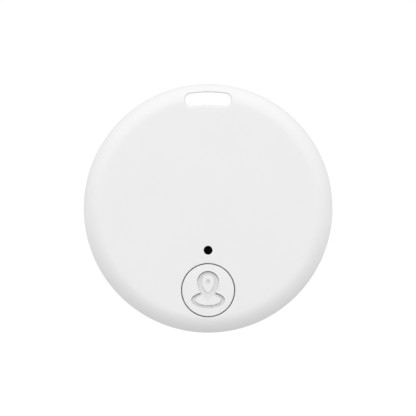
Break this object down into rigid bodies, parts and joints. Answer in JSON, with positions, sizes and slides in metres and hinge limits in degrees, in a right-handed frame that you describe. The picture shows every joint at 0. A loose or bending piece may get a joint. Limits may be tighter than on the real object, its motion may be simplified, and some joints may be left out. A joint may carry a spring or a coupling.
{
  "type": "bluetooth tracker tag",
  "caption": "Thin round Bluetooth tracker tag with a curved lanyard slot, a push button with a map-pin symbol, a sound hole and a pull-off back over a coin cell.",
  "frame": {"origin": "middle of the lanyard slot, half way through the disc", "axes": "the tag hangs upright: +Z from the disc's centre up to the slot, +Y out of the back, and the front with the button faces -Y"},
  "size_m": [0.038, 0.008, 0.038],
  "materials": {
    "white_abs": "fine satin moulding",
    "black_mesh": "woven mesh",
    "board_green": "solder mask on glass fibre",
    "black_plastic": "matt moulding",
    "nickel_steel": "nickel plated",
    "spring_steel": "rolled strip",
    "seal_nylon": "moulded",
    "lithium": "soft foil",
    "separator": "nonwoven",
    "cathode": "pressed powder",
    "brass": "rolled sheet",
    "ceramic": "silvered ceramic",
    "tape": "double-sided tape",
    "red_wire": "insulation",
    "black_wire": "insulation",
    "copper_gold": "gold flash on copper",
    "led_white": "clear cap",
    "capacitor_tan": "ceramic"
  },
  "bodies": {
    "case": {"front_shell": "white_abs", "sound_mesh": "black_mesh", "circuit_board": "board_green", "board_screw_1": "nickel_steel", "board_screw_2": "nickel_steel", "cell_holder": "black_plastic", "positive_contact": "spring_steel", "negative_contact": "spring_steel", "switch_base": "black_plastic", "switch_dome": "spring_steel", "switch_frame": "nickel_steel", "buzzer_tape": "tape", "buzzer_plate": "brass", "buzzer_ceramic": "ceramic", "buzzer_lead_red": "red_wire", "buzzer_lead_black": "black_wire", "bluetooth_chip": "black_plastic", "crystal": "nickel_steel", "driver_transistor": "black_plastic", "status_led": "led_white", "antenna_trace": "copper_gold", "chip_capacitor_1": "capacitor_tan", "chip_capacitor_2": "capacitor_tan", "chip_capacitor_3": "capacitor_tan", "chip_capacitor_4": "capacitor_tan", "chip_capacitor_5": "capacitor_tan", "chip_capacitor_6": "capacitor_tan", "chip_resistor_1": "black_plastic", "chip_resistor_2": "black_plastic", "chip_resistor_3": "black_plastic"},
    "button": {"find_button": "white_abs"},
    "switch_plunger": {"switch_stem": "black_plastic"},
    "rear_cover": {"rear_shell": "white_abs"},
    "cell": {"cell_can": "nickel_steel", "cell_seal": "seal_nylon", "cell_cap": "nickel_steel", "cell_anode": "lithium", "cell_separator": "separator", "cell_cathode": "cathode"}
  },
  "joints": [
    {"name": "button_press", "type": "slide", "parent": "case", "child": "button", "axis": [0, 1, 0], "range_m": [0, 0.00025], "stiffness_N_per_m": 6000, "deforming": ["switch_dome"]},
    {"name": "plunger_travel", "type": "slide", "parent": "case", "child": "switch_plunger", "axis": [0, 1, 0], "range_m": [0, 0.00025]},
    {"name": "cover_release", "type": "slide", "parent": "case", "child": "rear_cover", "axis": [0, 1, 0], "range_m": [0, 0.024]},
    {"name": "cell_release", "type": "slide", "parent": "case", "child": "cell", "axis": [0, 1, 0], "range_m": [0, 0.012]}
  ],
  "couplings": [
    {"joint": "plunger_travel", "follows": "button_press", "ratio": 1},
    {"joint": "cell_release", "follows": "cover_release", "ratio": 0.5}
  ]
}
